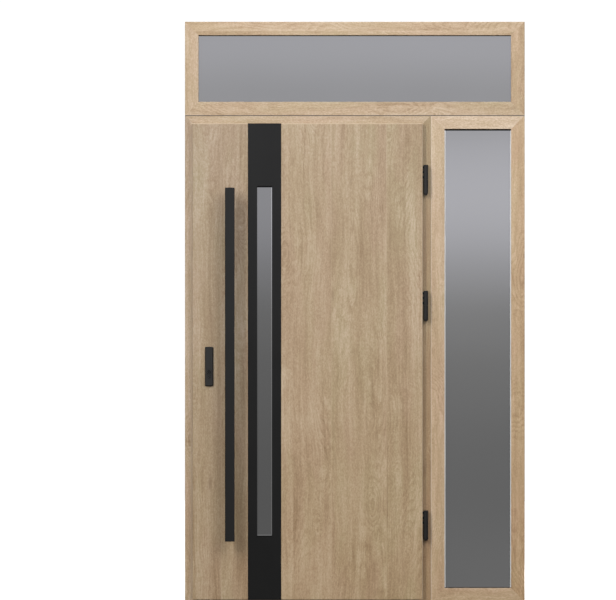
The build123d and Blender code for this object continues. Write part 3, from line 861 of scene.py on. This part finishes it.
def makeScrewGrid():
    tree, given, result = geometryTree(
        "screwGrid",
        [
            ("Screw", "NodeSocketObject"),
            ("Start", "NodeSocketVector"),
            ("Row Count", "NodeSocketInt"),
            ("Row Step", "NodeSocketVector"),
            ("Pair Count", "NodeSocketInt"),
            ("Pair Step", "NodeSocketVector"),
            ("Facing", "NodeSocketRotation"),
            ("Seed", "NodeSocketInt"),
            ("Material", "NodeSocketMaterial"),
        ],
    )
    rows = lineOf(tree, given["Row Count"], given["Start"], given["Row Step"])
    pair = lineOf(tree, given["Pair Count"], (0.0, 0.0, 0.0), given["Pair Step"])
    places = node(tree, "GeometryNodeInstanceOnPoints", Points=rows, Instance=pair)
    places = node(tree, "GeometryNodeRealizeInstances", Geometry=places.outputs[0])
    head = node(tree, "GeometryNodeObjectInfo", Object=given["Screw"])
    heads = node(
        tree,
        "GeometryNodeInstanceOnPoints",
        Points=places.outputs[0],
        Instance=head.outputs["Geometry"],
        Rotation=given["Facing"],
    )
    turn = point(tree, 0.0, 0.0, randomValue(tree, given["Seed"], 0.0, math.tau, 0))
    turned = node(tree, "GeometryNodeRotateInstances", Instances=heads.outputs[0], Rotation=turn)
    finishTree(tree, turned.outputs[0], given["Material"], result)
    return tree


brushLook = {
    "count": 1300,
    "hang": 0.006,
    "inset": 0.001,
    "lift": 0.0002,  # keeps the tips inside the plain brush's box
    "spread": 0.008,
    "tip": 0.00018,
    "root": 0.00032,
    "slant": 0.14,
    "lengths": (0.86, 0.97),
    "seed": 17,
}


def makeBristleRow():
    tree, given, result = geometryTree(
        "bristleRow",
        [
            ("Count", "NodeSocketInt"),
            ("Start", "NodeSocketVector"),
            ("Step", "NodeSocketVector"),
            ("Spread", "NodeSocketFloat"),
            ("Length", "NodeSocketFloat"),
            ("Carrier Size", "NodeSocketVector"),
            ("Carrier Place", "NodeSocketVector"),
            ("Seed", "NodeSocketInt"),
            ("Material", "NodeSocketMaterial"),
        ],
    )
    roots = lineOf(tree, given["Count"], given["Start"], given["Step"])
    sideways = calc(tree, "MULTIPLY", randomValue(tree, given["Seed"], -0.5, 0.5, 1), given["Spread"])
    strewn = node(tree, "GeometryNodeSetPosition", Geometry=roots, Offset=point(tree, 0.0, sideways, 0.0))
    hair = node(
        tree,
        "GeometryNodeMeshCone",
        Vertices=5,
        Radius_Top=brushLook["tip"],
        Radius_Bottom=brushLook["root"],
        Depth=given["Length"],
    )
    slant = brushLook["slant"]
    leanX = randomValue(tree, given["Seed"], -slant, slant, 2)
    leanY = randomValue(tree, given["Seed"], -slant, slant, 3)
    lean = point(tree, leanX, leanY, math.pi / 7)
    size = point(tree, 1.0, 1.0, randomValue(tree, given["Seed"], *brushLook["lengths"], 4))
    hanging = node(tree, "GeometryNodeTransform", Geometry=hair.outputs["Mesh"], Rotation=(math.pi, 0.0, 0.0))
    bristles = node(
        tree,
        "GeometryNodeInstanceOnPoints",
        Points=strewn.outputs[0],
        Instance=hanging.outputs[0],
        Rotation=lean,
        Scale=size,
    )
    block = node(tree, "GeometryNodeMeshCube", Size=given["Carrier Size"])
    carrier = node(
        tree, "GeometryNodeTransform", Geometry=block.outputs["Mesh"], Translation=given["Carrier Place"]
    )
    joined = tree.nodes.new("GeometryNodeJoinGeometry")
    tree.links.new(carrier.outputs[0], joined.inputs[0])
    tree.links.new(bristles.outputs[0], joined.inputs[0])
    finishTree(tree, joined.outputs[0], given["Material"], result)
    return tree


def growPiece(name, tree, body, values):
    # runs the node tree once and keeps the plain mesh
    holder = bpy.data.objects.new(name, bpy.data.meshes.new(name))
    scene.collection.objects.link(holder)
    grown = holder.modifiers.new(name, "NODES")
    grown.node_group = tree
    for item in tree.interface.items_tree:
        if item.in_out == "INPUT":
            grown[item.identifier] = values[item.name]
    ready = holder.evaluated_get(bpy.context.evaluated_depsgraph_get())
    mesh = bpy.data.meshes.new_from_object(ready)
    holder.modifiers.clear()
    holder.data = mesh
    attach(holder, body)
    return holder


def screwHead(look):
    # countersunk head with a six-lobed socket, facing up
    count = 24
    rings = []
    for radius, level, lobes in look["rings"]:
        ring = []
        for step in range(count):
            angle = math.tau * step / count
            reach = radius * (1.0 + lobes * math.cos(6 * angle))
            ring.append((reach * math.cos(angle), reach * math.sin(angle), level))
        rings.append(ring)
    shape = bmesh.new()
    made = [[shape.verts.new(place) for place in ring] for ring in rings]
    for lower, upper in zip(made, made[1:]):
        for step in range(count):
            after = (step + 1) % count
            shape.faces.new((lower[step], lower[after], upper[after], upper[step]))
    shape.faces.new(made[-1])
    shape.faces.new(reversed(made[0]))
    bmesh.ops.recalc_face_normals(shape, faces=shape.faces[:])
    mesh = bpy.data.meshes.new("screwHead")
    shape.to_mesh(mesh)
    shape.free()
    head = bpy.data.objects.new("screwHead", mesh)
    scene.collection.objects.link(head)
    return head


screwLook = {  # radius, height and lobes of each ring, from the plate up and down into the socket
    "rings": (
        (0.0040, -0.0004, 0.0),
        (0.0040, 0.0002, 0.0),
        (0.0037, 0.0005, 0.0),
        (0.0019, 0.0005, 0.13),
        (0.0017, -0.0002, 0.13),
    ),
    "faceRows": 6,
    "facePitch": 0.340,
    "strikeRows": 3,
    "strikePitch": 0.680,
    "strikePair": 0.160,
}


def addScrews():
    tree = makeScrewGrid()
    head = screwHead(screwLook)
    shared = {"Screw": head, "Material": steel}
    low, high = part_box("lock_faceplate")
    middle = (low + high) / 2
    start = middle.z - screwLook["facePitch"] * (screwLook["faceRows"] - 1) / 2
    face = {
        "Start": (low.x, middle.y, start),
        "Row Count": screwLook["faceRows"],
        "Row Step": (0.0, 0.0, screwLook["facePitch"]),
        "Pair Count": 1,
        "Pair Step": (0.0, 0.0, 0.0),
        "Facing": (0.0, -math.pi / 2, 0.0),
        "Seed": 4,
    }
    growPiece("faceplate_screws", tree, "leaf", {**shared, **face})
    low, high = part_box("strike_plates")
    middle = (low + high) / 2
    start = middle.z - screwLook["strikePitch"] * (screwLook["strikeRows"] - 1) / 2
    start -= screwLook["strikePair"] / 2
    strike = {
        "Start": (high.x, middle.y, start),
        "Row Count": screwLook["strikeRows"],
        "Row Step": (0.0, 0.0, screwLook["strikePitch"]),
        "Pair Count": 2,
        "Pair Step": (0.0, 0.0, screwLook["strikePair"]),
        "Facing": (0.0, math.pi / 2, 0.0),
        "Seed": 9,
    }
    growPiece("strike_screws", tree, "frame", {**shared, **strike})
    bpy.data.objects.remove(head)


def addBrush():
    low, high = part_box("leaf_bottom_brush")
    middle = (low + high) / 2
    hang, count, inset = brushLook["hang"], brushLook["count"], brushLook["inset"]
    values = {
        "Count": count,
        "Start": (low.x + inset, middle.y, low.z + hang + brushLook["lift"]),
        "Step": ((high.x - low.x - 2 * inset) / (count - 1), 0.0, 0.0),
        "Spread": brushLook["spread"],
        "Length": hang,
        "Carrier Size": (high.x - low.x, high.y - low.y, high.z - low.z - hang),
        "Carrier Place": (middle.x, middle.y, (low.z + hang + high.z) / 2),
        "Seed": brushLook["seed"],
        "Material": rubberBlack,
    }
    brush = growPiece("bottom_brush_bristles", makeBristleRow(), "leaf", values)
    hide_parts("leaf_bottom_brush")


addScrews()
addBrush()
print("screws and bristles grown")


# studio: white surround, pale floor, large soft lights up to the left and right, and one behind

studio = {
    "backdrop": 1.05,  # what the camera sees behind the door
    "surround": 0.2125,
    "surroundColour": (1.0, 0.97, 0.92, 1.0),
    "floorSize": 60.0,
    "floorColours": ((0.86, 0.86, 0.86, 1.0), (0.90, 0.90, 0.90, 1.0)),
    "floorGlow": (0.60, 1.1),  # beside the door, and far from it
    "floorFade": (2.0, 9.0),
    "cardPlace": -2.4,
    "cardWidth": 9.0,
    "cardHeights": (-3.0, 6.0),
    "cardPower": 1.5,
    "cardStops": {  # height above the floor, brightness
        -3.0: 0.24,
        0.10: 0.247,
        0.44: 0.229,
        0.78: 0.259,
        1.07: 0.328,
        1.29: 0.434,
        1.50: 0.658,
        1.71: 0.806,
        1.97: 0.748,
        2.16: 0.574,
        2.40: 0.690,
        6.0: 0.66,
    },
    "cardTints": ((1.0, 1.0, 1.0), (0.980, 0.980, 1.040)),  # at its darkest and its brightest
    "cardCool": (0.3, 0.4),  # the brightness where the second tint starts, and how soon it is full
    "cardCloud": (1.1, 0.10),  # size and strength of a soft cloud on it
}
softLights = {  # tall soft boxes, width and height
    "left": {"place": (-4.60, -5.0, 5.8), "size": (1.3, 6.0), "power": 418.0, "colour": (1.0, 0.985, 0.96)},
    "right": {"place": (3.10, -5.0, 5.8), "size": (4.2, 6.0), "power": 340.0, "colour": (0.98, 0.985, 1.0)},
    "back": {"place": (2.2, 6.0, 4.6), "size": (4.5, 5.0), "power": 480.0, "colour": (1.0, 0.99, 0.97)},
}
lightAim = (-0.15, 0.0, 1.3)


def makeWorld():
    world = bpy.data.worlds.new("studio")
    scene.world = world
    world.use_nodes = True
    tree = world.node_tree
    tree.nodes.clear()
    shown = tree.nodes.new("ShaderNodeBackground")
    shown.inputs["Color"].default_value = (1.0, 1.0, 1.0, 1.0)
    shown.inputs["Strength"].default_value = studio["backdrop"]
    lit = tree.nodes.new("ShaderNodeBackground")
    lit.inputs["Color"].default_value = studio["surroundColour"]
    lit.inputs["Strength"].default_value = studio["surround"]
    path = tree.nodes.new("ShaderNodeLightPath")
    either = tree.nodes.new("ShaderNodeMixShader")
    output = tree.nodes.new("ShaderNodeOutputWorld")
    tree.links.new(path.outputs["Is Camera Ray"], either.inputs[0])
    tree.links.new(lit.outputs[0], either.inputs[1])
    tree.links.new(shown.outputs[0], either.inputs[2])
    tree.links.new(either.outputs[0], output.inputs[0])


def plane(name, corners):
    mesh = bpy.data.meshes.new(name)
    mesh.from_pydata(corners, [], [(0, 1, 2, 3)])
    thing = bpy.data.objects.new(name, mesh)
    scene.collection.objects.link(thing)
    return thing


def makeFloor():
    half = studio["floorSize"] / 2
    floor = plane("floor", [(-half, -half, 0.0), (half, -half, 0.0), (half, half, 0.0), (-half, half, 0.0)])
    material, tree, shader = newMaterial("floorPale")
    place = lay(tree)
    grain = noise(tree, place, (3.0, 3.0, 3.0), 3.0)
    pale = blendColour(tree, grain, *studio["floorColours"])
    tree.links.new(pale, shader.inputs["Base Color"])
    shader.inputs["Roughness"].default_value = 0.9
    shader.inputs["Specular IOR Level"].default_value = 0.1
    x, y, z = parts(tree, place)
    away = calc(tree, "SQRT", calc(tree, "ADD", calc(tree, "MULTIPLY", x, x), calc(tree, "MULTIPLY", y, y)))
    shader.inputs["Emission Color"].default_value = (1.0, 1.0, 1.0, 1.0)
    glow = spread(tree, away, *studio["floorFade"], *studio["floorGlow"])
    tree.links.new(glow, shader.inputs["Emission Strength"])
    floor.data.materials.append(material)
    floor.visible_diffuse = False  # the door isn't lit or mirrored from below
    floor.visible_glossy = False


def makeCard():
    # a graded card in front that only reflections see: pale above, dark below
    half, y = studio["cardWidth"] / 2, studio["cardPlace"]
    low, high = studio["cardHeights"]
    card = plane("reflectionCard", [(half, y, low), (-half, y, low), (-half, y, high), (half, y, high)])
    material = bpy.data.materials.new("reflectionCard")
    material.use_nodes = True
    tree = material.node_tree
    tree.nodes.clear()
    where = tree.nodes.new("ShaderNodeTexCoord")
    height = parts(tree, where.outputs["Object"])[2]
    height = calc(tree, "DIVIDE", calc(tree, "SUBTRACT", height, low), high - low)
    ramp = tree.nodes.new("ShaderNodeValToRGB")
    ramp.color_ramp.interpolation = "CARDINAL"
    stops = ramp.color_ramp.elements
    for count in range(len(studio["cardStops"]) - len(stops)):
        stops.new(0.5)
    start, reach = studio["cardCool"]
    for stop, (level, shade) in zip(stops, studio["cardStops"].items()):
        stop.position = (level - low) / (high - low)
        cool = min(max((shade - start) / reach, 0.0), 1.0)
        tint = [dark + (bright - dark) * cool for dark, bright in zip(*studio["cardTints"])]
        stop.color = [shade * part for part in tint] + [1.0]
    tree.links.new(height, ramp.inputs[0])
    glow = tree.nodes.new("ShaderNodeEmission")
    size, strength = studio["cardCloud"]
    cloud = noise(tree, where.outputs["Object"], (size, size, size), 2.0)
    cloud = calc(tree, "MULTIPLY_ADD", calc(tree, "SUBTRACT", cloud, 0.5), strength, 1.0)
    tree.links.new(calc(tree, "MULTIPLY", cloud, studio["cardPower"]), glow.inputs["Strength"])
    tree.links.new(ramp.outputs[0], glow.inputs["Color"])
    output = tree.nodes.new("ShaderNodeOutputMaterial")
    tree.links.new(glow.outputs[0], output.inputs[0])
    card.data.materials.append(material)
    card.visible_camera = False
    card.visible_diffuse = False
    card.visible_transmission = False
    card.visible_shadow = False


def makeLights():
    for name, light in softLights.items():
        data = bpy.data.lights.new(name + "Light", "AREA")
        data.shape = "RECTANGLE"
        data.size, data.size_y = light["size"]
        data.energy = light["power"]
        data.color = light["colour"]
        lamp = bpy.data.objects.new(name + "Light", data)
        scene.collection.objects.link(lamp)
        lamp.location = light["place"]
        aim = Vector(lightAim) - Vector(light["place"])
        lamp.rotation_euler = aim.to_track_quat("-Z", "Y").to_euler()


makeWorld()
makeFloor()
makeCard()
makeLights()
print("studio lit")


# camera: straight on, from so far away that the lines stay parallel

view = {
    "millimetresPerPixel": 4.2616,
    "imageWidth": 616,
    "centre": (-0.1998, 1.2874),
    "distance": 60.0,
}


def makeCamera():
    data = bpy.data.cameras.new("camera")
    data.sensor_width = 36.0
    pictureWidth = view["millimetresPerPixel"] * view["imageWidth"] / 1000.0
    data.lens = data.sensor_width * view["distance"] / pictureWidth
    data.clip_end = 400.0
    camera = bpy.data.objects.new("camera", data)
    scene.collection.objects.link(camera)
    camera.location = (view["centre"][0], cadBox[0].y - view["distance"], view["centre"][1])
    camera.rotation_euler = (math.radians(90.0), 0.0, 0.0)
    scene.camera = camera


makeCamera()
scene.view_settings.view_transform = "Standard"
print("camera set")
